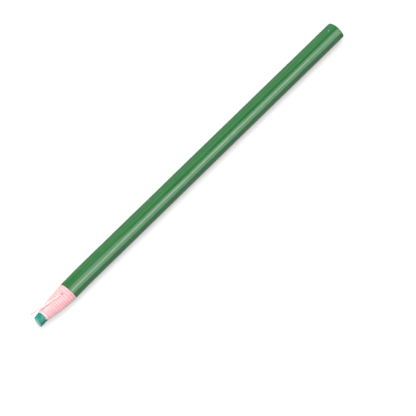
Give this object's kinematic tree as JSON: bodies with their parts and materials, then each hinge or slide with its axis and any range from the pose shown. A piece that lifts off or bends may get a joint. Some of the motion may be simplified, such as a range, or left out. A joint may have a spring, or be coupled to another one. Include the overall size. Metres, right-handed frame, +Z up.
{
  "type": "wax marking pencil",
  "caption": "Peel-off wax marking pencil: a wax core in a wound paper barrel, with a stepped paper cone, a glossy jacket and a pull string whose tail lifts off the cone.",
  "frame": {"origin": "on the surface that the pencil lies on, under the middle of its length", "axes": "+X along the pencil towards the wax tip, +Z up, with the pencil lying on its side and the string on top"},
  "size_m": [0.1722, 0.008, 0.0081],
  "materials": {
    "wax": "smooth pigmented wax",
    "paper": "soft uncoated paper",
    "lacquer": "glossy lacquer",
    "cotton": "twisted cotton thread"
  },
  "bodies": {
    "barrel": {"wax_core": "wax", "paper_winding": "paper", "lacquered_jacket": "lacquer", "peel_section": "lacquer", "pull_string": "cotton"},
    "tail": {"string_tail": "cotton"}
  },
  "joints": [
    {"name": "string_lift", "type": "hinge", "parent": "barrel", "child": "tail", "pos_m": [0.0723, -0.00048, 0.00787], "axis": [-0.1305, -0.9841, -0.1208], "range_deg": [0, 150]}
  ]
}
